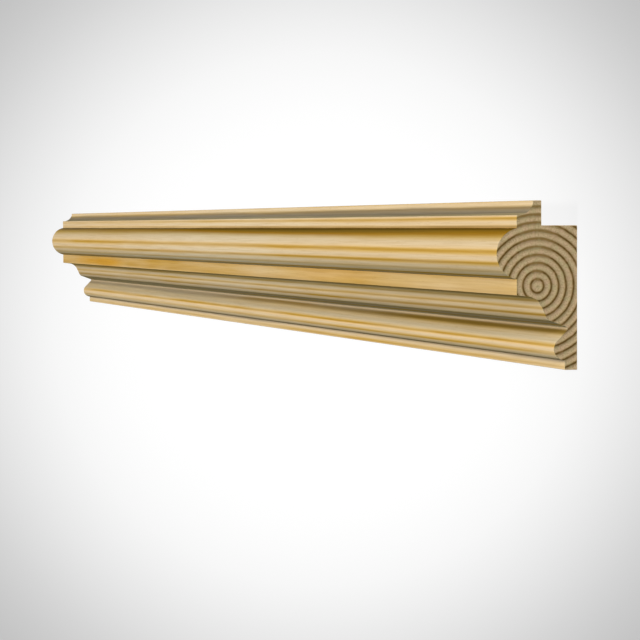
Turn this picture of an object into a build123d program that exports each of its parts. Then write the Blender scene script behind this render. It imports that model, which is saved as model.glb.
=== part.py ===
from build123d import *
import os

# Dado capping moulding: one length of softwood, run to a single moulded section. Millimetres.
# X runs along the length, Y up the wall and Z out from the wall, so the moulding lies on its flat
# back with its moulded face up. The origin is in the middle of the back.

# Overall sizes
length = 1000.0
height = 70.0
projection = 35.6

# Rebate behind the top edge, which drops over the boards that the moulding caps
rebate_depth = 15.8
rebate_height = 10.3
lip_thickness = 3.9

# Members above the torus, from the top edge down
top_square = 1.5
cavetto_height = 4.4
cavetto_hollow = 1.4
upper_fillet = 5.4

# Torus, whose height is what the other members leave
torus_projection = 8.8

# Flat band below the torus, and the ogee under it with its cove, its nose and its quirk
band = 6.6
ogee_height = 13.7
soffit_run = 9.1
soffit_fall = 1.1
cove_radius = 7.0
nose_run = 9.4
nose_rise = 3.5
nose_radius = 3.0
quirk_floor = 3.8
quirk_radius = 0.8

# Bead at the bottom, standing on the foot's flat face
foot_thickness = 5.6
foot_fillet = 3.9
bead_radius = 4.8
bead_turn = 135.0

# Easing of the long arrises
arris_radius = 0.35

# Levels up the wall, from the middle of the back
bottom = -height / 2
top = height / 2
shoulder_level = top - rebate_height
cavetto_top = top - top_square
fillet_top = cavetto_top - cavetto_height
torus_top = fillet_top - upper_fillet
bead_level = bottom + foot_fillet + bead_radius
quirk_level = bead_level + bead_radius * 2**0.5 + foot_thickness - quirk_floor
band_bottom = quirk_level + ogee_height
band_top = band_bottom + band

# Faces out from the wall
lip_face = rebate_depth + lip_thickness
band_face = projection - torus_projection

# Corners of the section, as (up the wall, out from the wall)
back_foot = (bottom, 0)
back_shoulder = (shoulder_level, 0)
inner_shoulder = (shoulder_level, rebate_depth)
lip_back = (top, rebate_depth)
lip_front = (top, lip_face)
cavetto_start = (cavetto_top, lip_face)
fillet_upper = (fillet_top, band_face)
fillet_lower = (torus_top, band_face)
band_upper = (band_top, band_face)
band_lower = (band_bottom, band_face)
cove_corner = (band_bottom - soffit_fall, band_face - soffit_run)
nose_corner = (quirk_level + nose_rise, quirk_floor + nose_run)
quirk_corner = (quirk_level, quirk_floor)
foot_front = (bottom, foot_thickness)
eased_corners = (back_foot, back_shoulder, lip_back, lip_front, fillet_upper, band_lower, foot_front)

with BuildPart() as dado_capping:
    with BuildSketch(Plane.YZ) as section:
        with BuildLine():
            # Foot's face and the bead that stands on it, which leaves on a tangent into the quirk
            Line(foot_front, (bottom + foot_fillet, foot_thickness))
            bead = CenterArc((bead_level, foot_thickness), bead_radius, 180, -bead_turn)
            Line(bead @ 1, quirk_corner)
            # Ogee, from the quirk over the nose and up the cove to the band
            FilletPolyline(
                quirk_corner,
                nose_corner,
                cove_corner,
                band_lower,
                radius=(nose_radius, cove_radius),
            )
            Line(band_lower, band_upper)
            # Torus, fillet, cavetto and the square top edge
            SagittaArc(band_upper, fillet_lower, torus_projection)
            Line(fillet_lower, fillet_upper)
            SagittaArc(fillet_upper, cavetto_start, -cavetto_hollow)
            Polyline(cavetto_start, lip_front, lip_back, inner_shoulder, back_shoulder, back_foot, foot_front)
        make_face()
        for corner in eased_corners:
            fillet(section.vertices().sort_by_distance(corner)[0], arris_radius)
        fillet(section.vertices().sort_by_distance(quirk_corner)[0], quirk_radius)
    extrude(amount=length / 2, both=True)

dado_capping.part.label = "dado_capping"
os.makedirs("parts", exist_ok=True)
export_step(dado_capping.part, "parts/dado_capping.step")
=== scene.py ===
"""Dado capping moulding: one length of unfinished pine, lying on its flat back with its moulded face up.

X runs along the length, Y up the wall and Z out of it. Sizes are in millimetres, and become metres where a
mesh, a lamp or the camera is made.
"""

import logging
import math
from dataclasses import dataclass
from enum import Enum

import bpy
import numpy as np
from mathutils import Matrix, Vector
from mathutils.geometry import delaunay_2d_cdt


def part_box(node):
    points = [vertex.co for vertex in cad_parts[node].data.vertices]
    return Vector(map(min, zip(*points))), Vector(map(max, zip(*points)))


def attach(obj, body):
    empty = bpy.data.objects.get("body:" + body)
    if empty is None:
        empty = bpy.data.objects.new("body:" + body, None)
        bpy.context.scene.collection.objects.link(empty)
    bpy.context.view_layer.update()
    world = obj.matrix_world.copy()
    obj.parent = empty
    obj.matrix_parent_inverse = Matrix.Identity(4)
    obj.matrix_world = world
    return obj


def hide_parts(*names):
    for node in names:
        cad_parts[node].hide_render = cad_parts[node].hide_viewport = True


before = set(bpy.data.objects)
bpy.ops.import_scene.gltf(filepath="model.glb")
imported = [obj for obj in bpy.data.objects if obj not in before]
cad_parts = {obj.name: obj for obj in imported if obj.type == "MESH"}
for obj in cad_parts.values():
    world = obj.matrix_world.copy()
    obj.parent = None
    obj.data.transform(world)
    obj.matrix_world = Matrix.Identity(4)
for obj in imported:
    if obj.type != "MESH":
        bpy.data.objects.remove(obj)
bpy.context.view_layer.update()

log = logging.getLogger("moulding")

MM = 0.001
NODE = "dado_capping"
BODY = "root"

# Rises below TINY count as none, and points within CLOSE, or MERGING on the ends, as one
TINY = 1e-12
CLOSE = 1e-6
MERGING = 1e-7

# Shares of a rounding's radius: the longest step round it, and how far its middle lies inside the corner
FINE_STEP = 0.35
ARRIS_MIDDLE = 0.3

# Settings that nodes share
BLEND = {"output": 2, "data_type": "RGBA"}
MULTIPLY = {**BLEND, "blend_type": "MULTIPLY"}
SMOOTH = {"interpolation_type": "SMOOTHSTEP"}

Point = tuple[float, float]
Place = tuple[float, float, float]
Socket = bpy.types.NodeSocket
Tree = bpy.types.NodeTree
Stops = tuple[tuple[float, str | Place], ...]
Face = tuple[int, ...]


class Kind(Enum):
    """The shader nodes that the finishes are made of."""

    COORDINATES = "ShaderNodeTexCoord"
    LIGHT_PATH = "ShaderNodeLightPath"
    SPLIT = "ShaderNodeSeparateXYZ"
    JOIN = "ShaderNodeCombineXYZ"
    NUMBER = "ShaderNodeMath"
    VECTOR = "ShaderNodeVectorMath"
    NOISE = "ShaderNodeTexNoise"
    RANGE = "ShaderNodeMapRange"
    RAMP = "ShaderNodeValToRGB"
    MIX = "ShaderNodeMix"
    BUMP = "ShaderNodeBump"
    PRINCIPLED = "ShaderNodeBsdfPrincipled"
    DIFFUSE = "ShaderNodeBsdfDiffuse"
    EMISSION = "ShaderNodeEmission"
    MIX_SHADER = "ShaderNodeMixShader"
    BACKGROUND = "ShaderNodeBackground"
    MATERIAL_OUTPUT = "ShaderNodeOutputMaterial"
    WORLD_OUTPUT = "ShaderNodeOutputWorld"


def linear(colour: str) -> tuple[float, float, float, float]:
    """Turns an sRGB hex colour into Blender's linear colour.

    Args:
        colour: Six hex digits, such as "e2c89e".

    Returns:
        Linear red, green, blue and an alpha of 1.
    """
    parts = [int(colour[i : i + 2], 16) / 255 for i in (0, 2, 4)]
    red, green, blue = (c / 12.92 if c <= 0.04045 else ((c + 0.055) / 1.055) ** 2.4 for c in parts)
    return red, green, blue, 1.0


def add_node(
    tree: Tree,
    kind: Kind,
    inputs: dict[int | str, object] | None = None,
    output: int | str = 0,
    stops: Stops = (),
    **settings: object,
) -> Socket | None:
    """Adds one node with its settings, links and, for a ramp, its stops.

    Args:
        tree: The node tree that takes it.
        kind: The kind of node.
        inputs: A value, an sRGB hex colour or a socket to link, for each input's number or name.
        output: The number or name of the output to return.
        stops: A ramp's places from 0 to 1, each with an sRGB hex colour or three plain numbers.
        **settings: The node's own attributes.

    Returns:
        The output's socket, or None from a node that has none.
    """
    node = tree.nodes.new(kind.value)
    for name, value in settings.items():
        setattr(node, name, value)
    for name, value in (inputs or {}).items():
        if isinstance(value, Socket):
            tree.links.new(value, node.inputs[name])
        else:
            node.inputs[name].default_value = linear(value) if isinstance(value, str) else value
    for number, (place, colour) in enumerate(stops):
        elements = node.color_ramp.elements
        element = elements[number] if number < len(elements) else elements.new(place)
        element.position = place
        element.color = linear(colour) if isinstance(colour, str) else (*colour, 1.0)
    return node.outputs[output] if node.outputs else None


def new_material(name: str) -> tuple[bpy.types.Material, Tree]:
    """Makes an empty material.

    Args:
        name: The material's name.

    Returns:
        The material and its node tree.
    """
    material = bpy.data.materials.new(name)
    material.use_nodes = True
    material.node_tree.nodes.clear()
    return material, material.node_tree


def new_object(name: str, data: bpy.types.ID) -> bpy.types.Object:
    """Makes an object and puts it in the scene.

    Args:
        name: The object's name.
        data: Its mesh, light or camera.

    Returns:
        The object.
    """
    made = bpy.data.objects.new(name, data)
    bpy.context.scene.collection.objects.link(made)
    return made


@dataclass(frozen=True)
class Span:
    """Two values between which something sets in, and its share at each of them."""

    start: float
    end: float
    start_share: float = 0.0
    end_share: float = 1.0

    def of(self, value: Socket) -> dict[int | str, object]:
        """Gives a range node's inputs for a value."""
        values = {"Value": value, "From Min": self.start, "From Max": self.end}
        return {**values, "To Min": self.start_share, "To Max": self.end_share}


class Cut(Enum):
    """The surfaces that the moulding cutters, the plane and the saw leave, by material slot."""

    MOULDED = 0
    PLANED = 1
    SAWN = 2


class Tone(Enum):
    """What a streak does to the wood it runs through, or the painted shade that it lays along a hollow."""

    DEEP = "deep"
    FAINT = "faint"
    RESIN = "resin"
    PALE = "pale"
    # Painted shade: a darker, greyer colour laid along the hollows and under the overhangs
    DULL = "dull"


@dataclass(frozen=True)
class Streak:
    """A stretch of wood with a tone of its own, or of painted shade: a long ellipsoid that fades out at its
    edge.
    """

    tone: Tone
    along: float
    up: float
    out: float
    length: float
    height: float
    depth: float
    share: float = 1.0


@dataclass(frozen=True)
class Timber:
    """Growth rings, as cylinders about a pith that wanders a little, and the streaks along them, some of
    which are painted shade in the hollows.

    Each ring's latewood line has three strengths: by the near end, in the middle and by the far end.
    """

    pith_up: float = -0.11
    pith_out: float = 17.73
    spacing: float = 3.308
    first_share: float = 0.872
    wander_up: float = -0.2
    wander_out: float = 0.12
    wander_length: float = 1000.0
    waver: float = 0.1
    waver_length: float = 240.0
    waver_width: float = 7.0
    near_zone: Span = Span(20.0, 240.0)
    far_zone: Span = Span(-20.0, -300.0)
    table_rings: float = 16.0
    streak_core: float = 0.25
    edge_level: float = 0.45
    edge_noise: float = 1.1
    strengths: tuple[Place, ...] = (
        (0.5, 0.5, 0.5),
        (0.5, 0.5, 0.5),
        (0.7, 0.7, 0.7),
        (0.75, 0.75, 0.75),
        (0.85, 0.75, 0.7),
        (0.4, 0.4, 0.4),
        (0.95, 0.75, 0.65),
        (1.0, 0.62, 0.82),
        (0.95, 0.9, 0.85),
        (0.82, 0.5, 0.35),
        (0.45, 0.4, 0.5),
        (0.7, 0.5, 0.45),
        (0.3, 0.3, 0.3),
    )
    streaks: tuple[Streak, ...] = (
        Streak(Tone.DEEP, 300.0, 22.2, 29.8, 1900.0, 10.6, 13.4, 1.0),
        Streak(Tone.DEEP, -168.0, 10.0, 35.6, 110.0, 6.0, 5.0, 0.6),
        Streak(Tone.DEEP, -36.0, 11.5, 35.4, 70.0, 5.0, 5.0, 0.35),
        Streak(Tone.DEEP, 385.0, 7.6, 34.2, 180.0, 4.0, 5.0, 0.35),
        Streak(Tone.DEEP, 420.0, -19.5, 5.5, 640.0, 4.5, 5.5, 0.48),
        Streak(Tone.FAINT, -320.0, -19.5, 6.0, 800.0, 14.0, 16.0, 1.0),
        Streak(Tone.FAINT, 0.0, -17.4, 3.8, 4000.0, 5.0, 5.0, 1.0),
        Streak(Tone.FAINT, -60.0, 24.1, 26.8, 4000.0, 3.4, 4.0, 0.6),
        Streak(Tone.RESIN, -97.0, 8.6, 35.2, 130.0, 5.0, 5.0, 0.3),
        Streak(Tone.RESIN, -335.0, -1.0, 26.8, 170.0, 9.0, 8.0, 0.95),
        Streak(Tone.RESIN, -410.0, -1.0, 26.8, 90.0, 9.0, 8.0, 0.5),
        Streak(Tone.RESIN, 240.0, 0.0, 26.8, 210.0, 9.0, 8.0, 0.35),
        Streak(Tone.RESIN, 0.0, -4.8, 22.0, 4000.0, 3.4, 14.0, 0.35),
        Streak(Tone.RESIN, 0.0, 3.0, 29.5, 4000.0, 3.2, 9.0, 0.3),
        Streak(Tone.PALE, 20.0, 8.0, 30.0, 640.0, 90.0, 60.0, 0.5),
        Streak(Tone.PALE, 200.0, -23.2, 9.6, 1300.0, 5.0, 5.0, 0.3),
        # The streaks from here on are painted shade along the cavetto, the crease at the upper fillet's foot,
        # the torus top, the nose and quirk, and under the bead
        Streak(Tone.DULL, 0.0, 31.1, 21.6, 6000.0, 5.2, 8.4, 1.0),
        Streak(Tone.DULL, 480.0, 31.1, 21.4, 900.0, 6.4, 9.0, 0.4),
        Streak(Tone.DULL, 0.0, 22.6, 27.8, 6000.0, 4.2, 5.0, 0.85),
        Streak(Tone.DULL, -500.0, 18.0, 30.0, 1500.0, 4.6, 6.0, 0.6),
        Streak(Tone.DULL, 0.0, -12.7, 14.0, 6000.0, 4.6, 5.0, 0.55),
        Streak(Tone.DULL, 0.0, -15.3, 9.2, 6000.0, 4.6, 9.0, 0.42),
        Streak(Tone.DULL, 0.0, -19.0, 5.0, 6000.0, 6.2, 7.6, 0.75),
        Streak(Tone.DULL, 0.0, -31.0, 6.5, 6000.0, 2.6, 8.0, 1.0),
    )

    def count(self, along: np.ndarray | float, up: np.ndarray, out: np.ndarray) -> np.ndarray:
        """Counts rings from the pith, so that a whole number is the middle of a latewood line.

        Args:
            along: Places along the length.
            up: Places up the wall.
            out: Places out from the wall.

        Returns:
            The ring count at each place.
        """
        sway = np.sin(along * (2 * math.pi / self.wander_length))
        across = up - self.pith_up - self.wander_up * sway
        deep = out - self.pith_out - self.wander_out * sway
        return np.hypot(across, deep) / self.spacing + 1 - self.first_share

    def ridge(
        self, along: np.ndarray | float, up: np.ndarray, out: np.ndarray, half: float = 0.12
    ) -> np.ndarray:
        """Gives how far into a latewood line each place is.

        Args:
            along: Places along the length.
            up: Places up the wall.
            out: Places out from the wall.
            half: Half the line's width, as a share of a ring.

        Returns:
            A share from 0 in earlywood to 1 in the line's middle.
        """
        count = self.count(along, up, out)
        return np.exp(-(((count - np.round(count)) / half) ** 2))

    def place(self, tree: Tree) -> Socket:
        """Gives the place on the timber in millimetres."""
        place = add_node(tree, Kind.COORDINATES, output="Object")
        return add_node(tree, Kind.VECTOR, {0: place, "Scale": 1 / MM}, operation="SCALE")

    def offset(self, tree: Tree, place: Socket) -> Socket:
        """Gives the way from the pith to a place, square to the length.

        Args:
            tree: The material's node tree.
            place: The place in millimetres.

        Returns:
            The way up and out, with nothing along the length.
        """
        along = add_node(tree, Kind.SPLIT, {0: place})
        cycle = 2 * math.pi / self.wander_length
        turn = add_node(tree, Kind.NUMBER, {0: along, 1: cycle}, operation="MULTIPLY")
        sway = add_node(tree, Kind.NUMBER, {0: turn}, operation="SINE")
        pith = add_node(
            tree,
            Kind.VECTOR,
            {0: (0, self.wander_up, self.wander_out), 1: sway, 2: (0, self.pith_up, self.pith_out)},
            operation="MULTIPLY_ADD",
        )
        flat = add_node(tree, Kind.VECTOR, {0: place, 1: (0, 1, 1)}, operation="MULTIPLY")
        return add_node(tree, Kind.VECTOR, {0: flat, 1: pith}, operation="SUBTRACT")

    def ring_count(self, tree: Tree, place: Socket, offset: Socket) -> Socket:
        """Counts rings as Timber.count does, with a slight waver in each line.

        Args:
            tree: The material's node tree.
            place: The place in millimetres.
            offset: The way from the pith.

        Returns:
            The ring count.
        """
        radius = add_node(tree, Kind.VECTOR, {0: offset}, output="Value", operation="LENGTH")
        sizes = (1 / self.waver_length, 1 / self.waver_width, 1 / self.waver_width)
        spot = add_node(tree, Kind.VECTOR, {0: place, 1: sizes}, operation="MULTIPLY")
        stray = add_node(tree, Kind.NOISE, {"Vector": spot, "Scale": 1.0, "Detail": 1.0})
        centred = add_node(tree, Kind.NUMBER, {0: stray, 1: 0.5}, operation="SUBTRACT")
        # Such noise strays about a quarter either way, so four times the waver brings it to full size
        gain = 4 * self.waver
        strayed = add_node(tree, Kind.NUMBER, {0: centred, 1: gain, 2: radius}, operation="MULTIPLY_ADD")
        return add_node(
            tree,
            Kind.NUMBER,
            {0: strayed, 1: 1 / self.spacing, 2: 1 - self.first_share},
            operation="MULTIPLY_ADD",
        )

    def strength(self, tree: Tree, place: Socket, count: Socket) -> Socket:
        """Gives how dark each year's latewood is, from 0 to 1, which changes from end to end.

        Args:
            tree: The material's node tree.
            place: The place in millimetres.
            count: The ring count.

        Returns:
            The strength of the nearest latewood line.
        """
        along = add_node(tree, Kind.SPLIT, {0: place})
        near = add_node(tree, Kind.RANGE, self.near_zone.of(along), **SMOOTH)
        far = add_node(tree, Kind.RANGE, self.far_zone.of(along), **SMOOTH)
        middle = add_node(tree, Kind.NUMBER, {0: 1.0, 1: near}, operation="SUBTRACT")
        middle = add_node(tree, Kind.NUMBER, {0: middle, 1: far}, operation="SUBTRACT")
        shares = add_node(tree, Kind.JOIN, {0: near, 1: middle, 2: far})
        ring = add_node(tree, Kind.NUMBER, {0: count}, operation="ROUND")
        ring = add_node(tree, Kind.NUMBER, {0: ring, 1: self.table_rings}, operation="DIVIDE")
        stops = tuple((k / self.table_rings, strengths) for k, strengths in enumerate(self.strengths))
        table = add_node(tree, Kind.RAMP, {0: ring}, stops=stops)
        return add_node(tree, Kind.VECTOR, {0: table, 1: shares}, output="Value", operation="DOT_PRODUCT")

    def streak_share(self, tree: Tree, place: Socket, tone: Tone, ragged: Socket) -> Socket:
        """Adds up the streaks of one tone.

        Args:
            tree: The material's node tree.
            place: The place in millimetres.
            tone: The tone.
            ragged: Noise from 0 to 1 that roughens the streaks' edges.

        Returns:
            The share of the tone at the place.
        """
        total: Socket | float = 0.0
        loose = add_node(
            tree,
            Kind.NUMBER,
            {0: ragged, 1: self.edge_noise, 2: self.edge_level},
            operation="MULTIPLY_ADD",
        )
        for streak in self.streaks:
            if streak.tone is not tone:
                continue
            centre = (streak.along, streak.up, streak.out)
            spread = (2 / streak.length, 2 / streak.height, 2 / streak.depth)
            away = add_node(tree, Kind.VECTOR, {0: place, 1: centre}, operation="SUBTRACT")
            away = add_node(tree, Kind.VECTOR, {0: away, 1: spread}, operation="MULTIPLY")
            away = add_node(tree, Kind.VECTOR, {0: away}, output="Value", operation="LENGTH")
            away = add_node(tree, Kind.NUMBER, {0: away, 1: loose}, operation="MULTIPLY")
            fade = Span(1.0, self.streak_core, 0.0, streak.share)
            share = add_node(tree, Kind.RANGE, fade.of(away), **SMOOTH)
            total = add_node(tree, Kind.NUMBER, {0: total, 1: share}, operation="ADD", use_clamp=True)
        return total


@dataclass(frozen=True)
class PlanedPine:
    """Planed and moulded pine, cut along the grain by a spindle moulder and left bare.

    The eye sees cream earlywood with soft-edged gold latewood stripes, fine streaks along the grain, a few
    amber resin stains, and a dry surface with no sheen. Faces that lie flat show the wood's own colour. Steep
    faces get painted shade, darker and cooler, most where they face down, and streaks of painted shade darken
    the hollows.
    Fibres and resin canals are too fine to show, so they are drawn several times as coarse as life.
    """

    name: str = "moulded_pine"
    roughness: float = 0.78
    specular: float = 0.0
    fibre_width: float = 0.5
    fibre_length: float = 42.0
    canal_width: float = 0.28
    canal_length: float = 6.0
    cutter_pitch: float = 1.8
    stain_length: float = 130.0
    stain_width: float = 6.0
    line_unevenness: Span = Span(0.0, 1.0, 0.1, 1.9)
    pale_earlywood: Span = Span(0.12, 0.3)
    fibre_share: Span = Span(0.4, 0.75, 0.0, 0.4)
    canal_share: Span = Span(0.72, 0.82, 0.0, 0.22)
    painted_shade_by_steepness: Span = Span(1.0, 0.4)
    painted_shade_by_rise: Span = Span(-0.2, 0.5, 0.95, 0.72)
    ripple_height: float = 0.1
    grain_strength: float = 0.5
    grain_height: float = 0.04
    early: str = "ddc59c"
    gold: Stops = (
        (0.0, "bc9340"),
        (0.05, "c49c4c"),
        (0.1, "cfaa60"),
        (0.15, "dcb97c"),
        (0.22, "e2c594"),
        (0.36, "dec59c"),
        (0.56, "dcc39a"),
        (0.64, "dcbf8e"),
        (0.71, "d9b97d"),
        (0.79, "d1ae66"),
        (0.87, "c79f4e"),
        (0.94, "be9542"),
        (1.0, "bc9340"),
    )
    deep: Stops = (
        (0.0, "886a26"),
        (0.05, "98782f"),
        (0.1, "b6934a"),
        (0.16, "cfb07a"),
        (0.24, "dcc396"),
        (0.54, "dbc298"),
        (0.61, "d8ba86"),
        (0.67, "d1aa66"),
        (0.74, "c69c48"),
        (0.8, "bd8c2e"),
        (0.88, "b2801e"),
        (0.94, "9e782a"),
        (1.0, "886a26"),
    )
    resin: str = "ce9a38"
    pale: str = "e4d4b4"
    fibre_shade: str = "d8c6a4"
    painted_flank_shade: str = "bbc9c8"
    dull: str = "bcbec6"
    canal: str = "a0793f"

    def material(self, timber: Timber) -> bpy.types.Material:
        """Makes the material.

        Args:
            timber: The timber that the face is cut from.

        Returns:
            The material.
        """
        material, tree = new_material(self.name)
        place = timber.place(tree)
        count = timber.ring_count(tree, place, timber.offset(tree, place))
        share = add_node(tree, Kind.NUMBER, {0: count}, operation="FRACT")

        noises = {}
        for name, length, width, detail in (
            ("fibre", self.fibre_length, self.fibre_width, 3.0),
            ("canal", self.canal_length, self.canal_width, 0.0),
            ("stain", self.stain_length, self.stain_width, 2.0),
        ):
            sizes = (1 / length, 1 / width, 1 / width)
            spot = add_node(tree, Kind.VECTOR, {0: place, 1: sizes}, operation="MULTIPLY")
            noises[name] = add_node(tree, Kind.NOISE, {"Vector": spot, "Scale": 1.0, "Detail": detail})

        strength = timber.strength(tree, place, count)
        uneven = add_node(tree, Kind.RANGE, self.line_unevenness.of(noises["stain"]))
        factors = {0: strength, 1: uneven}
        strength = add_node(tree, Kind.NUMBER, factors, operation="MULTIPLY", use_clamp=True)
        faint = timber.streak_share(tree, place, Tone.FAINT, noises["stain"])
        kept = add_node(tree, Kind.NUMBER, {0: 1.0, 1: faint}, operation="SUBTRACT")
        strength = add_node(tree, Kind.NUMBER, {0: strength, 1: kept}, operation="MULTIPLY")
        gold = add_node(tree, Kind.RAMP, {0: share}, stops=self.gold)
        colour = add_node(tree, Kind.MIX, {0: strength, 6: self.early, 7: gold}, **BLEND)
        depth = timber.streak_share(tree, place, Tone.DEEP, noises["stain"])
        deep = add_node(tree, Kind.RAMP, {0: share}, stops=self.deep)
        colour = add_node(tree, Kind.MIX, {0: depth, 6: colour, 7: deep}, **BLEND)

        between = add_node(tree, Kind.NUMBER, {0: count, 1: 0.5}, operation="PINGPONG")
        between = add_node(tree, Kind.RANGE, self.pale_earlywood.of(between))
        pale = timber.streak_share(tree, place, Tone.PALE, noises["stain"])
        pale = add_node(tree, Kind.NUMBER, {0: pale, 1: between}, operation="MULTIPLY")
        colour = add_node(tree, Kind.MIX, {0: pale, 6: colour, 7: self.pale}, **BLEND)
        resin = timber.streak_share(tree, place, Tone.RESIN, noises["stain"])
        colour = add_node(tree, Kind.MIX, {0: resin, 6: colour, 7: self.resin}, **BLEND)
        fibre = add_node(tree, Kind.RANGE, self.fibre_share.of(noises["fibre"]))
        colour = add_node(tree, Kind.MIX, {0: fibre, 6: colour, 7: self.fibre_shade}, **MULTIPLY)
        # Painted shade: the hollow streaks make the colour darker and greyer
        dull = timber.streak_share(tree, place, Tone.DULL, noises["stain"])
        colour = add_node(tree, Kind.MIX, {0: dull, 6: colour, 7: self.dull}, **MULTIPLY)
        canal = add_node(tree, Kind.RANGE, self.canal_share.of(noises["canal"]))
        colour = add_node(tree, Kind.MIX, {0: canal, 6: colour, 7: self.canal}, **BLEND)
        # Painted shade: steep faces, and most of all those that face down, are coloured darker and cooler, as
        # if less lit
        facing = add_node(tree, Kind.COORDINATES, output="Normal")
        outward = add_node(tree, Kind.SPLIT, {0: facing}, output="Z")
        upward = add_node(tree, Kind.SPLIT, {0: facing}, output="Y")
        underside_shade = add_node(tree, Kind.RANGE, self.painted_shade_by_rise.of(upward))
        painted_flank_share = add_node(tree, Kind.RANGE, self.painted_shade_by_steepness.of(outward))
        painted_flank_share = add_node(tree, Kind.NUMBER, {0: painted_flank_share, 1: underside_shade}, operation="MULTIPLY")
        colour = add_node(tree, Kind.MIX, {0: painted_flank_share, 6: colour, 7: self.painted_flank_shade}, **MULTIPLY)

        along = add_node(tree, Kind.SPLIT, {0: place})
        cycle = 2 * math.pi / self.cutter_pitch
        ripple = add_node(tree, Kind.NUMBER, {0: along, 1: cycle}, operation="MULTIPLY")
        ripple = add_node(tree, Kind.NUMBER, {0: ripple}, operation="SINE")
        height = add_node(
            tree,
            Kind.NUMBER,
            {0: ripple, 1: self.ripple_height, 2: noises["fibre"]},
            operation="MULTIPLY_ADD",
        )
        bump = add_node(
            tree,
            Kind.BUMP,
            {"Strength": self.grain_strength, "Distance": self.grain_height * MM, "Height": height},
        )
        shader = add_node(
            tree,
            Kind.PRINCIPLED,
            {
                "Base Color": colour,
                "Roughness": self.roughness,
                "Specular IOR Level": self.specular,
                "Normal": bump,
            },
        )
        add_node(tree, Kind.MATERIAL_OUTPUT, {0: shader})
        return material


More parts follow.
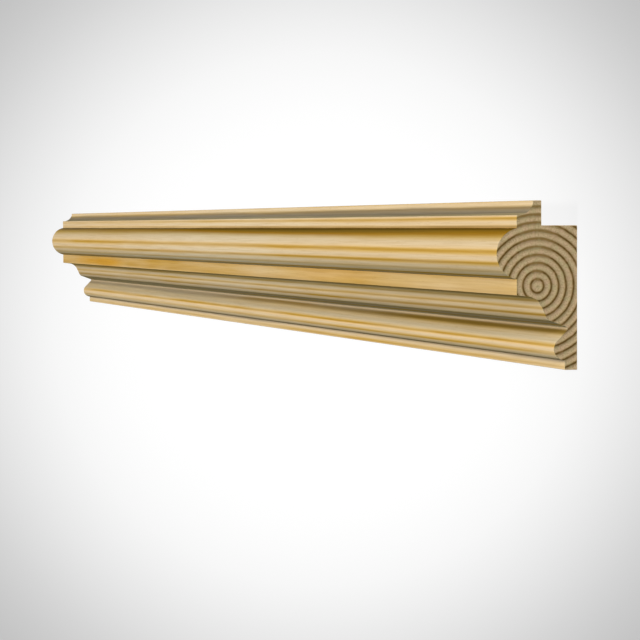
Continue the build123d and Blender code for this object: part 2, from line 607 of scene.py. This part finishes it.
@dataclass(frozen=True)
class SawnPine:
    """Crosscut pine, as a fine saw leaves it.

    The eye sees the log's rings as thin dark lines on a greyer, matt tan ground, speckled with cut fibre
    ends, and softer, browner lines in the sector over the pith. The saw leaves the hard latewood standing as
    low ridges, which catch the light on one side. Fibre ends are too fine to show, so their speckle is drawn
    coarser than life.
    """

    name: str = "sawn_pine"
    roughness: float = 0.9
    specular: float = 0.0
    pore_size: float = 0.7
    mottle_size: float = 2.4
    ray_count: float = 34.0
    ray_length: float = 16.0
    line_relief: float = 0.34
    pore_relief: float = 0.15
    clean_line: float = 0.8
    line_share: Span = Span(0.16, 0.05)
    ridge_share: Span = Span(0.42, 0.0)
    sector_share: Span = Span(0.86, 0.98, 0.0, 0.6)
    late_share: Span = Span(0.4, 0.9, 0.0, 0.7)
    warm_share: Span = Span(0.5, 0.7, 0.0, 0.6)
    pore_share: Span = Span(0.45, 0.7, 0.0, 0.6)
    blush_share: Span = Span(0.5, 0.7, 0.0, 0.5)
    lichen_share: Span = Span(0.48, 0.28, 0.0, 0.55)
    ray_share: Span = Span(0.55, 0.8, 0.0, 0.3)
    grain: Stops = (
        (0.0, "5c4620"),
        (0.06, "644d26"),
        (0.11, "836b41"),
        (0.17, "a79066"),
        (0.25, "c0a980"),
        (0.36, "c8b18a"),
        (0.62, "c6af88"),
        (0.74, "c2ab82"),
        (0.82, "a89166"),
        (0.89, "7f673b"),
        (0.94, "614a24"),
        (1.0, "5c4620"),
    )
    soft_line: str = "957b4a"
    warm_line: str = "7a5e20"
    pore: str = "957b52"
    blush: str = "c9a888"
    lichen: str = "b5ab7e"

    def material(self, timber: Timber) -> bpy.types.Material:
        """Makes the material.

        Args:
            timber: The timber that the saw cut.

        Returns:
            The material.
        """
        material, tree = new_material(self.name)
        place = timber.place(tree)
        offset = timber.offset(tree, place)
        count = timber.ring_count(tree, place, offset)
        share = add_node(tree, Kind.NUMBER, {0: count}, operation="FRACT")
        colour = add_node(tree, Kind.RAMP, {0: share}, stops=self.grain)

        near_line = add_node(tree, Kind.NUMBER, {0: count, 1: 0.5}, operation="PINGPONG")
        line = add_node(tree, Kind.RANGE, self.line_share.of(near_line))
        noises = {}
        for name, size, detail in (("pore", self.pore_size, 1.0), ("mottle", self.mottle_size, 2.0)):
            spot = add_node(tree, Kind.VECTOR, {0: place, "Scale": 1 / size}, operation="SCALE")
            noises[name] = add_node(tree, Kind.NOISE, {"Vector": spot, "Scale": 1.0, "Detail": detail})
        way = add_node(tree, Kind.VECTOR, {0: offset}, operation="NORMALIZE")
        fan = add_node(tree, Kind.VECTOR, {0: way, "Scale": self.ray_count}, operation="SCALE")
        shrink = (1 / self.ray_length,) * 3
        fan = add_node(tree, Kind.VECTOR, {0: offset, 1: shrink, 2: fan}, operation="MULTIPLY_ADD")
        rays = add_node(tree, Kind.NOISE, {"Vector": fan, "Scale": 1.0, "Detail": 0.0})

        over_pith = add_node(tree, Kind.SPLIT, {0: way}, output="Y")
        sector = add_node(tree, Kind.RANGE, self.sector_share.of(over_pith), **SMOOTH)
        soft = add_node(tree, Kind.NUMBER, {0: line, 1: sector}, operation="MULTIPLY")
        late = add_node(tree, Kind.RANGE, self.late_share.of(share))
        late = add_node(tree, Kind.NUMBER, {0: late, 1: sector}, operation="MULTIPLY")
        colour = add_node(tree, Kind.MIX, {0: late, 6: colour, 7: self.soft_line}, **BLEND)
        colour = add_node(tree, Kind.MIX, {0: soft, 6: colour, 7: self.soft_line}, **BLEND)
        warm = add_node(tree, Kind.RANGE, self.warm_share.of(noises["mottle"]))
        warm = add_node(tree, Kind.NUMBER, {0: line, 1: warm}, operation="MULTIPLY")
        colour = add_node(tree, Kind.MIX, {0: warm, 6: colour, 7: self.warm_line}, **BLEND)
        off_line = add_node(
            tree, Kind.NUMBER, {0: line, 1: -self.clean_line, 2: 1.0}, operation="MULTIPLY_ADD"
        )
        for value, span, tint in (
            (noises["pore"], self.pore_share, self.pore),
            (noises["mottle"], self.blush_share, self.blush),
            (noises["mottle"], self.lichen_share, self.lichen),
            (rays, self.ray_share, self.pore),
        ):
            amount = add_node(tree, Kind.RANGE, span.of(value))
            amount = add_node(tree, Kind.NUMBER, {0: amount, 1: off_line}, operation="MULTIPLY")
            colour = add_node(tree, Kind.MIX, {0: amount, 6: colour, 7: tint}, **BLEND)

        ridge = add_node(tree, Kind.RANGE, self.ridge_share.of(near_line), **SMOOTH)
        height = add_node(
            tree,
            Kind.NUMBER,
            {0: noises["pore"], 1: self.pore_relief, 2: ridge},
            operation="MULTIPLY_ADD",
        )
        relief = self.line_relief * MM
        bump = add_node(tree, Kind.BUMP, {"Strength": 1.0, "Distance": relief, "Height": height})
        shader = add_node(
            tree,
            Kind.PRINCIPLED,
            {
                "Base Color": colour,
                "Roughness": self.roughness,
                "Specular IOR Level": self.specular,
                "Normal": bump,
            },
        )
        add_node(tree, Kind.MATERIAL_OUTPUT, {0: shader})
        return material


def arc_points(start: Point, end: Point, rise: float, step: float) -> list[Point]:
    """Samples an arc, leaving out its start.

    Args:
        start: Where the arc starts.
        end: Where it ends.
        rise: How far its middle stands off the chord, to the left where positive.
        step: The longest stretch between samples.

    Returns:
        The samples, with the end last.
    """
    chord = math.dist(start, end)
    half_turn = 2 * math.atan(2 * rise / chord)
    radius = chord / (2 * math.sin(half_turn))
    along = ((end[0] - start[0]) / chord, (end[1] - start[1]) / chord)
    left = (-along[1], along[0])
    depth = radius * math.cos(half_turn)
    middle = [start[i] + along[i] * chord / 2 - left[i] * depth for i in (0, 1)]
    count = max(2, math.ceil(abs(2 * half_turn * radius) / step))
    found = []
    for k in range(1, count + 1):
        turn = -half_turn + 2 * half_turn * k / count
        side, up = radius * math.sin(turn), radius * math.cos(turn)
        found.append(tuple(middle[i] + along[i] * side + left[i] * up for i in (0, 1)))
    return found


def round_corner(loop: np.ndarray, corner: Point, radius: float, step: float) -> np.ndarray:
    """Rounds one corner of a closed loop.

    Args:
        loop: The loop's points.
        corner: The corner, which is one of them.
        radius: The radius of the rounding.
        step: The longest stretch between the rounding's samples.

    Returns:
        The loop with the corner rounded.
    """
    loop = np.roll(loop, -int(np.argmin(np.hypot(*(loop - corner).T))), axis=0)
    here, after, before = loop[0], loop[1] - loop[0], loop[0] - loop[-1]
    turn = math.atan2(before[0] * after[1] - before[1] * after[0], float(before @ after))
    reach = radius * math.tan(abs(turn) / 2)

    def cut(side: np.ndarray) -> tuple[np.ndarray, np.ndarray]:
        """Walks along one side of the corner.

        Args:
            side: The points of that side, from the corner on.

        Returns:
            Where the rounding meets the side, and what is left of the side's points.
        """
        walked = np.r_[0, np.cumsum(np.hypot(*np.diff(np.vstack([here, side]), axis=0).T))]
        met = np.array([np.interp(reach, walked, np.r_[here[i], side[:, i]]) for i in (0, 1)])
        return met, side[int(np.searchsorted(walked[1:], reach + CLOSE)) :]

    half = len(loop) // 2
    end, ahead = cut(loop[1 : half + 1])
    start, behind = cut(loop[:half:-1])
    rise = -math.dist(start, end) / 2 * math.tan(turn / 4)
    rounding = [tuple(start), *arc_points(tuple(start), tuple(end), rise, step)]
    return np.vstack([rounding, ahead, behind[::-1]])


class Outline:
    """Collects a closed outline as sampled points, then eases its marked corners."""

    def __init__(self, start: Point) -> None:
        """Starts at a corner."""
        self.points: list[Point] = [start]
        self.eased: list[tuple[Point, float]] = []

    def line(self, end: Point, step: float) -> None:
        """Runs straight to a point.

        Args:
            end: The point.
            step: The longest stretch between samples.
        """
        start = self.points[-1]
        shares = np.linspace(0, 1, max(1, math.ceil(math.dist(start, end) / step)) + 1)[1:]
        self.points += [tuple(start[i] + (end[i] - start[i]) * s for i in (0, 1)) for s in shares]

    def arc(self, end: Point, rise: float, step: float) -> None:
        """Runs to a point on an arc that stands off its chord by rise, to the left if positive."""
        self.points += arc_points(self.points[-1], end, rise, step)

    def ease(self, radius: float) -> None:
        """Marks the last point as a corner to be rounded."""
        self.eased.append((self.points[-1], radius))

    def closed(self, step: float) -> np.ndarray:
        """Rounds the marked corners.

        Args:
            step: The sampling of the larger roundings.

        Returns:
            The loop's points, without the first one repeated.
        """
        loop = np.array(self.points[:-1])
        for corner, radius in self.eased:
            loop = round_corner(loop, corner, radius, min(step, radius * FINE_STEP))
        return loop


@dataclass(frozen=True)
class Section:
    """The moulded section, member by member, in the places of the solid that it dresses."""

    height: float
    projection: float
    rebate_depth: float = 15.8
    rebate_height: float = 10.3
    lip_thickness: float = 3.9
    top_square: float = 1.5
    cavetto_height: float = 4.4
    cavetto_hollow: float = 1.4
    upper_fillet: float = 5.4
    torus_projection: float = 8.8
    band: float = 6.6
    ogee_height: float = 13.7
    soffit_run: float = 9.1
    soffit_fall: float = 1.1
    cove_radius: float = 7.0
    nose_run: float = 9.4
    nose_rise: float = 3.5
    nose_radius: float = 3.0
    quirk_floor: float = 3.8
    quirk_radius: float = 0.8
    foot_thickness: float = 5.6
    foot_fillet: float = 3.9
    bead_radius: float = 4.8
    bead_turn: float = 135.0
    arris_radius: float = 0.35
    moulded_step: float = 0.42
    plain_step: float = 1.4

    def outline(self) -> np.ndarray:
        """Samples the section, from the foot up the moulded face and down the back.

        Returns:
            The closed outline as rows of up and out.
        """
        top, bottom = self.height / 2, -self.height / 2
        lip_face = self.rebate_depth + self.lip_thickness
        face = self.projection - self.torus_projection
        shoulder = top - self.rebate_height
        cavetto_top = top - self.top_square
        fillet_top = cavetto_top - self.cavetto_height
        bead_start = (bottom + self.foot_fillet, self.foot_thickness)
        bead_level = bead_start[0] + self.bead_radius
        leaving = math.radians(180 - self.bead_turn)
        bead_end = (
            bead_level + self.bead_radius * math.cos(leaving),
            self.foot_thickness + self.bead_radius * math.sin(leaving),
        )
        bead_rise = self.bead_radius * (1 - math.cos(math.radians(self.bead_turn / 2)))
        flank_fall = self.bead_radius * math.sqrt(2) + self.foot_thickness - self.quirk_floor
        quirk_level = bead_level + flank_fall
        band_bottom = quirk_level + self.ogee_height

        path = Outline((bottom, self.foot_thickness))
        path.ease(self.arris_radius)
        path.line(bead_start, self.moulded_step)
        path.arc(bead_end, bead_rise, self.moulded_step)
        path.line((quirk_level, self.quirk_floor), self.moulded_step)
        path.ease(self.quirk_radius)
        path.line((quirk_level + self.nose_rise, self.quirk_floor + self.nose_run), self.moulded_step)
        path.ease(self.nose_radius)
        path.line((band_bottom - self.soffit_fall, face - self.soffit_run), self.moulded_step)
        path.ease(self.cove_radius)
        path.line((band_bottom, face), self.moulded_step)
        path.ease(self.arris_radius)
        path.line((band_bottom + self.band, face), self.moulded_step)
        path.arc((fillet_top - self.upper_fillet, face), self.torus_projection, self.moulded_step)
        path.line((fillet_top, face), self.moulded_step)
        path.ease(self.arris_radius)
        path.arc((cavetto_top, lip_face), -self.cavetto_hollow, self.moulded_step)
        path.line((top, lip_face), self.moulded_step)
        path.ease(self.arris_radius)
        path.line((top, self.rebate_depth), self.moulded_step)
        path.ease(self.arris_radius)
        path.line((shoulder, self.rebate_depth), self.plain_step)
        path.line((shoulder, 0), self.plain_step)
        path.ease(self.arris_radius)
        path.line((bottom, 0), self.plain_step)
        path.ease(self.arris_radius)
        path.line((bottom, self.foot_thickness), self.plain_step)
        return path.closed(self.moulded_step)

    def cuts(self, outline: np.ndarray) -> list[Cut]:
        """Tells the moulded face from the back, the rebate and the two edges, which are only planed.

        Args:
            outline: The closed outline.

        Returns:
            The cut of each stretch between one point and the next.
        """
        ups, outs = ((outline + np.roll(outline, -1, axis=0)) / 2).T
        ease = ARRIS_MIDDLE * self.arris_radius
        over_shoulder = ups > self.height / 2 - self.rebate_height - ease
        in_rebate = over_shoulder & (outs < self.rebate_depth + ease)
        plain = in_rebate | (outs < ease) | (np.abs(ups) > self.height / 2 - ease)
        return [Cut.PLANED if flat else Cut.MOULDED for flat in plain]


@dataclass
class CappingMoulding:
    """The moulding: long faces that run through stations along the length, and a fine mesh on each end."""

    length: float
    section: Section
    timber: Timber
    stations: int = 190
    end_ease: float = 0.2
    end_step: float = 0.45
    earlywood_recess: float = 0.03
    end_recess: float = 0.18
    end_ridge: float = 0.28
    end_margin: float = 0.6
    edge_clearance: float = 0.45
    sharp_angle: float = 32.0

    def station_places(self) -> tuple[np.ndarray, np.ndarray]:
        """Gives the stations' places and how far each one's outline is drawn in.

        Returns:
            Places along the length, and the inset at each, both eased at the two ends.
        """
        half = self.length / 2
        turns = np.radians([0.0, 30.0, 60.0, 90.0])
        back = self.end_ease * (1 - np.cos(turns))
        draw = self.end_ease * (1 - np.sin(turns))
        inner = np.linspace(-half + self.end_ease, half - self.end_ease, self.stations)[1:-1]
        along = np.concatenate([-half + back, inner, half - back[::-1]])
        inset = np.concatenate([draw, np.zeros(len(inner)), draw[::-1]])
        return along, inset

    def normals(self, outline: np.ndarray) -> np.ndarray:
        """Gives the outward direction at each point of the outline.

        Args:
            outline: The closed outline.

        Returns:
            A direction of length 1 for each point, as rows of up and out.
        """
        ahead = np.roll(outline, -1, axis=0) - outline
        ahead /= np.hypot(*ahead.T)[:, None]
        way = ahead + np.roll(ahead, 1, axis=0)
        way /= np.hypot(*way.T)[:, None]
        return np.stack([-way[:, 1], way[:, 0]], axis=1)

    def sides(self, outline: np.ndarray) -> tuple[np.ndarray, list[Face]]:
        """Builds the long faces.

        Args:
            outline: The closed outline.

        Returns:
            The vertices, a ring for each station, and the faces.
        """
        along, inset = self.station_places()
        normals = self.normals(outline)
        count = len(outline)
        rows = []
        for place, drawn in zip(along, inset):
            late = self.timber.ridge(place, outline[:, 0], outline[:, 1])
            sunk = drawn + self.earlywood_recess * (1 - late)
            rows.append(np.column_stack([np.full(count, place), outline - normals * sunk[:, None]]))
        faces = []
        for i in range(len(along) - 1):
            for j in range(count):
                k = (j + 1) % count
                faces.append((i * count + j, (i + 1) * count + j, (i + 1) * count + k, i * count + k))
        return np.vstack(rows), faces

    def inner_points(self, loop: np.ndarray) -> tuple[np.ndarray, np.ndarray]:
        """Lays a grid inside a loop, clear of its edge.

        Args:
            loop: The end's outline.

        Returns:
            The grid's points, and how far each one is from the edge.
        """
        low, high = loop.min(axis=0), loop.max(axis=0)
        ups = np.arange(low[0], high[0], self.end_step)
        outs = np.arange(low[1], high[1], self.end_step)
        grid = np.array([(u + (i % 2) * self.end_step / 2, o) for i, o in enumerate(outs) for u in ups])
        after = np.roll(loop, -1, axis=0)
        crossing = (loop[:, 1] > grid[:, 1:2]) != (after[:, 1] > grid[:, 1:2])
        rise = after[:, 1] - loop[:, 1]
        rise = np.where(np.abs(rise) < TINY, TINY, rise)
        meets = loop[:, 0] + (grid[:, 1:2] - loop[:, 1]) / rise * (after[:, 0] - loop[:, 0])
        grid = grid[(crossing & (grid[:, 0:1] < meets)).sum(axis=1) % 2 == 1]
        side = after - loop
        share = np.clip(((grid[:, None] - loop) * side).sum(axis=2) / (side**2).sum(axis=1), 0, 1)
        gap = np.hypot(*np.moveaxis(grid[:, None] - (loop + share[..., None] * side), 2, 0)).min(axis=1)
        clear = gap > self.end_step * self.edge_clearance
        return grid[clear], gap[clear]

    def end(self, ring: np.ndarray, first: int, start: int, way: int) -> tuple[np.ndarray, list[Face]]:
        """Fills one end with a fine mesh whose earlywood lies a little lower than its latewood.

        Args:
            ring: The end station's vertices.
            first: The number of the first of them in the mesh.
            start: The number that the first new vertex gets.
            way: 1 at the end towards +X and -1 at the other.

        Returns:
            The new vertices and the faces.
        """
        loop = ring[:, 1:]
        grid, gap = self.inner_points(loop)
        count = len(loop)
        edges = [(i, (i + 1) % count) for i in range(count)]
        flat = [Vector(p) for p in np.vstack([loop, grid])]
        _, _, triangles, sources, _, _ = delaunay_2d_cdt(flat, edges, [], 1, MERGING)
        late = self.timber.ridge(ring[0, 0], grid[:, 0], grid[:, 1], self.end_ridge)
        sunk = self.end_recess * (1 - late) * np.clip(gap / self.end_margin, 0, 1)
        new = np.column_stack([ring[0, 0] - way * sunk, grid])
        number = [first + s[0] if s[0] < count else start + s[0] - count for s in sources]
        faces = [tuple(number[v] for v in (t if way > 0 else t[::-1])) for t in triangles]
        log.info("end towards %+d: %d inner points, %d triangles", way, len(grid), len(faces))
        return new, faces

    def build(self, materials: dict[Cut, bpy.types.Material]) -> bpy.types.Object:
        """Makes the moulding's mesh and dresses it.

        Args:
            materials: The material of each cut.

        Returns:
            The moulding.
        """
        outline = self.section.outline()
        points, faces = self.sides(outline)
        count = len(outline)
        kinds = self.section.cuts(outline) * (len(faces) // count)
        for first, way in ((0, -1), (len(points) - count, 1)):
            new, filled = self.end(points[first : first + count], first, len(points), way)
            points = np.vstack([points, new])
            faces += filled
            kinds += [Cut.SAWN] * len(filled)
        mesh = bpy.data.meshes.new("dado_capping_planed")
        mesh.from_pydata((points * MM).tolist(), [], faces)
        for cut in Cut:
            mesh.materials.append(materials[cut])
        mesh.polygons.foreach_set("material_index", [k.value for k in kinds])
        mesh.shade_smooth()
        mesh.set_sharp_from_angle(angle=math.radians(self.sharp_angle))
        mesh.update()
        return new_object("dado_capping_planed", mesh)


@dataclass(frozen=True)
class PaperWithPaintedPool:
    """White paper with a painted pool of light.

    The eye sees smooth, matt paper that greys away from the middle of a soft-edged cone, which spreads from a
    fixed place beyond the moulding's near end. No lamp stands there: the pool is painted, as a glow whose
    colour greys along the cone. It keeps the moulding's shadow faintly, and throws light back on the moulding
    as plain grey card would.
    """

    name: str = "white_paper"
    card: str = "7c7c7c"
    shadow_share: float = 0.055
    pool_strength: float = 1.01
    pool_place: Place = (1448.4, 25.25, 392.8)
    pool_way: Place = (-0.95783, -0.03838, -0.28477)
    pool_spread: float = 0.1827
    pool_start: float = 200.0
    painted_pool: Stops = (
        (0.38, "ffffff"),
        (0.458, "fdfdfd"),
        (0.525, "fafafa"),
        (0.59, "f6f6f6"),
        (0.658, "efefef"),
        (0.724, "e7e7e7"),
        (0.79, "dedede"),
        (0.857, "d4d4d4"),
        (0.922, "cbcbcb"),
        (0.988, "c3c3c3"),
    )

    def material(self) -> bpy.types.Material:
        """Makes the material.

        Returns:
            The material, which the camera, gloss and glass see as paper with a painted pool of light, and
            other rays as grey card.
        """
        material, tree = new_material(self.name)
        place = add_node(tree, Kind.COORDINATES, output="Object")
        source = tuple(c * MM for c in self.pool_place)
        away = add_node(tree, Kind.VECTOR, {0: place, 1: source}, operation="SUBTRACT")
        aside = add_node(tree, Kind.VECTOR, {0: away, 1: self.pool_way}, operation="CROSS_PRODUCT")
        aside = add_node(tree, Kind.VECTOR, {0: aside}, output="Value", operation="LENGTH")
        factors = {0: away, 1: self.pool_way}
        ahead = add_node(tree, Kind.VECTOR, factors, output="Value", operation="DOT_PRODUCT")
        ahead = add_node(tree, Kind.NUMBER, {0: ahead, 1: self.pool_start * MM}, operation="MAXIMUM")
        ahead = add_node(tree, Kind.NUMBER, {0: ahead, 1: self.pool_spread}, operation="MULTIPLY")
        reach = add_node(tree, Kind.NUMBER, {0: aside, 1: ahead}, operation="DIVIDE")
        # Painted pool of light: the colour greys with the distance from the cone's middle
        painted_pool = add_node(tree, Kind.RAMP, {0: reach}, stops=self.painted_pool)

        sight = add_node(tree, Kind.LIGHT_PATH, output="Is Camera Ray")
        for other in ("Is Glossy Ray", "Is Transmission Ray"):
            seen = add_node(tree, Kind.LIGHT_PATH, output=other)
            sight = add_node(tree, Kind.NUMBER, {0: sight, 1: seen}, operation="MAXIMUM")
        plain = add_node(tree, Kind.DIFFUSE, {"Color": self.card})
        paper = add_node(tree, Kind.DIFFUSE, {"Color": painted_pool})
        # The camera mostly sees the painted glow; a small share of lamp-lit paper keeps the shadow
        glow = add_node(tree, Kind.EMISSION, {"Color": painted_pool, "Strength": self.pool_strength})
        shown = add_node(tree, Kind.MIX_SHADER, {0: self.shadow_share, 1: glow, 2: paper})
        both = add_node(tree, Kind.MIX_SHADER, {0: sight, 1: plain, 2: shown})
        add_node(tree, Kind.MATERIAL_OUTPUT, {0: both})
        return material


@dataclass(frozen=True)
class Studio:
    """The paper floor, a broad soft key over the moulded face, a light on each end, and a dim room."""

    key_level: float = 0.84
    key_spread: float = 14.0
    key_way: Place = (0.0, -0.066, -1.0)
    end_level: float = 0.7
    end_lamp: Place = (1450.0, 420.0, 400.0)
    end_lamp_size: float = 500.0
    end_middle: float = 18.0
    far_level: float = 0.6
    far_spread: float = 8.0
    far_way: Place = (1.0, 0.0, -0.04)
    room_level: float = 0.1
    floor_size: float = 9000.0
    floor_gap: float = 0.2
    paper: PaperWithPaintedPool = PaperWithPaintedPool()

    def lamp(self, name: str, place: Place, target: Place, size: float, level: float) -> None:
        """Adds a square area lamp that lights a surface facing it to a given level.

        Args:
            name: The lamp's name.
            place: Where it is.
            target: What it points at.
            size: The length of its side.
            level: The share of a surface's own colour that it brings out, on a surface at the target.
        """
        data = bpy.data.lights.new(name, "AREA")
        data.size = size * MM
        aim = Vector(target) - Vector(place)
        data.energy = level * math.pi**2 * (aim.length * MM) ** 2
        lamp = new_object(name, data)
        lamp.location = Vector(place) * MM
        lamp.rotation_euler = aim.to_track_quat("-Z", "Y").to_euler()

    def sun(self, name: str, way: Place, spread: float, level: float) -> None:
        """Adds a light that is as even along the moulding as a sun.

        Args:
            name: The light's name.
            way: The way that its rays run.
            spread: Its width in degrees, which softens its shadows.
            level: The share of a surface's own colour that it brings out, on a surface that faces it.
        """
        data = bpy.data.lights.new(name, "SUN")
        data.angle = math.radians(spread)
        data.energy = level * math.pi
        sun = new_object(name, data)
        sun.rotation_euler = Vector(way).to_track_quat("-Z", "Y").to_euler()

    def floor(self) -> None:
        """Lays the paper floor, a hair under the moulding."""
        half = self.floor_size / 2 * MM
        mesh = bpy.data.meshes.new("studio_floor")
        corners = [(-half, -half), (half, -half), (half, half), (-half, half)]
        mesh.from_pydata([(x, y, -self.floor_gap * MM) for x, y in corners], [], [(0, 1, 2, 3)])
        mesh.materials.append(self.paper.material())
        new_object("studio_floor", mesh)

    def room(self) -> None:
        """Sets the room's dim, even light."""
        world = bpy.data.worlds.new("room")
        world.use_nodes = True
        world.node_tree.nodes.clear()
        white = {"Color": "ffffff", "Strength": self.room_level}
        light = add_node(world.node_tree, Kind.BACKGROUND, white)
        add_node(world.node_tree, Kind.WORLD_OUTPUT, {0: light})
        bpy.context.scene.world = world

    def build(self, length: float) -> None:
        """Lays the floor and hangs the lamps.

        Args:
            length: The moulding's length.
        """
        self.floor()
        self.room()
        self.sun("key_over_face", self.key_way, self.key_spread, self.key_level)
        self.sun("low_light_on_far_end", self.far_way, self.far_spread, self.far_level)
        near_end = (length / 2, 0.0, self.end_middle)
        beyond, up, out = self.end_lamp
        place = (length / 2 + beyond, up, out)
        self.lamp("lamp_by_near_end", place, near_end, self.end_lamp_size, self.end_level)


@dataclass(frozen=True)
class Viewpoint:
    """A long lens near the moulding's length axis, looking back down its face, with the wall's up as up."""

    eye: Place = (1448.4, 25.25, 392.8)
    forward: Place = (-0.95783, -0.03838, -0.28477)
    roll: float = -0.236
    lens: float = 139.18
    sensor: float = 36.0
    nearest: float = 50.0
    farthest: float = 30000.0

    def build(self) -> None:
        """Sets up the camera."""
        data = bpy.data.cameras.new("view_along_face")
        data.sensor_width = self.sensor
        data.lens = self.lens
        data.clip_start, data.clip_end = self.nearest * MM, self.farthest * MM
        camera = new_object("view_along_face", data)
        back = -Vector(self.forward).normalized()
        right = Vector((0.0, 1.0, 0.0)).cross(back).normalized()
        level = Matrix((right, back.cross(right), back)).transposed()
        turned = level @ Matrix.Rotation(math.radians(self.roll), 3, "Z")
        camera.matrix_world = Matrix.Translation(Vector(self.eye) * MM) @ turned.to_4x4()
        bpy.context.scene.camera = camera


def main() -> None:
    """Builds the moulding, the studio and the camera, and logs the moulding's face count and length."""
    logging.basicConfig(level=logging.INFO, format="%(name)s: %(message)s")
    bpy.context.scene.view_settings.view_transform = "Standard"
    low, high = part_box(NODE)
    size = (high - low) / MM
    timber = Timber()
    materials = {
        Cut.MOULDED: PlanedPine().material(timber),
        # The plain planed faces get no painted shade: both shade colours are white
        Cut.PLANED: PlanedPine(name="planed_pine", painted_flank_shade="ffffff", dull="ffffff").material(timber),
        Cut.SAWN: SawnPine().material(timber),
    }
    section = Section(height=size.y, projection=size.z)
    moulding = CappingMoulding(size.x, section, timber).build(materials)
    log.info("%s: %d faces over %.0f mm", moulding.name, len(moulding.data.polygons), size.x)
    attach(moulding, BODY)
    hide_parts(NODE)
    Studio().build(size.x)
    Viewpoint().build()


if __name__ == "__main__":
    main()
